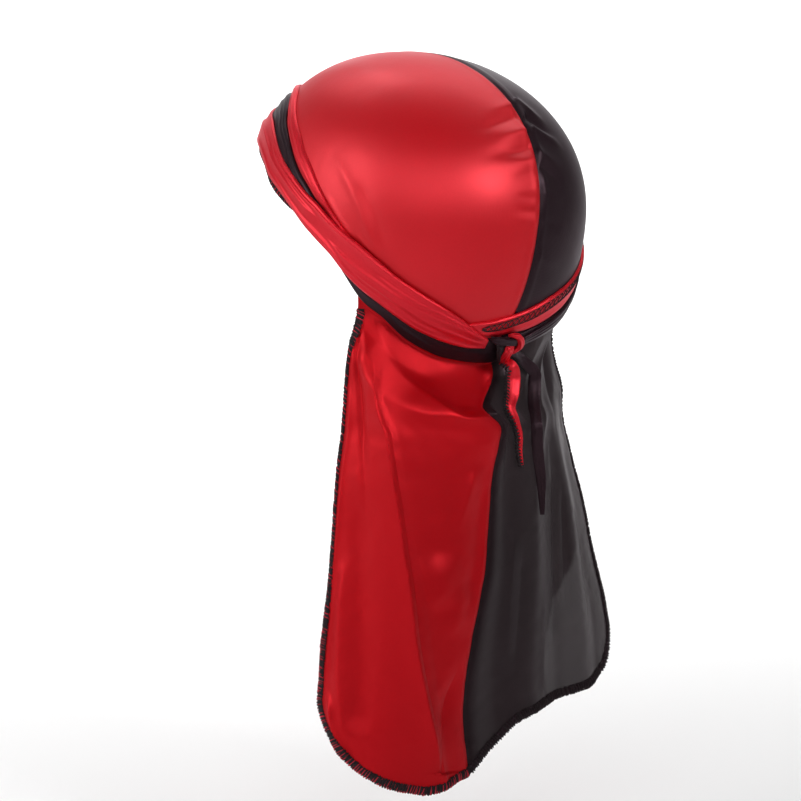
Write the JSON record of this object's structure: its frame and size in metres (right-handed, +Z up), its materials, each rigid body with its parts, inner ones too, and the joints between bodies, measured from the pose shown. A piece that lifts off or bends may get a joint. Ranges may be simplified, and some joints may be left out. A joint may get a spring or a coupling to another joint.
{
  "type": "durag",
  "caption": "Worn two-colour satin durag: a close dome seamed front to back, ties wrapped round it and knotted at the nape, and a long neck flap with overlocked edges.",
  "frame": {"origin": "inner top of the dome, where the top of the head carries it", "axes": "+Z up, the wearer faces -Y and the wearer's left is +X"},
  "size_m": [0.1935, 0.1925, 0.38],
  "materials": {
    "satin_red": "glossy red satin",
    "satin_black": "glossy black satin, slightly sheer in a single layer",
    "overlock_dark": "matt overlock thread"
  },
  "bodies": {
    "root": {"crown_left": "satin_red", "crown_right": "satin_black", "front_hem": "overlock_dark", "crown_pleat": "satin_red", "tie_black_lower": "satin_black", "tie_black_upper": "satin_black", "tie_red_crossing": "satin_red", "tie_red_wrap": "satin_red", "cape_left": "satin_red", "cape_right": "satin_black", "cape_hem_left": "overlock_dark", "cape_hem_right": "overlock_dark", "knot_black": "satin_black", "knot_red": "satin_red", "tail_red": "satin_red", "tail_black": "satin_black"}
  },
  "joints": []
}
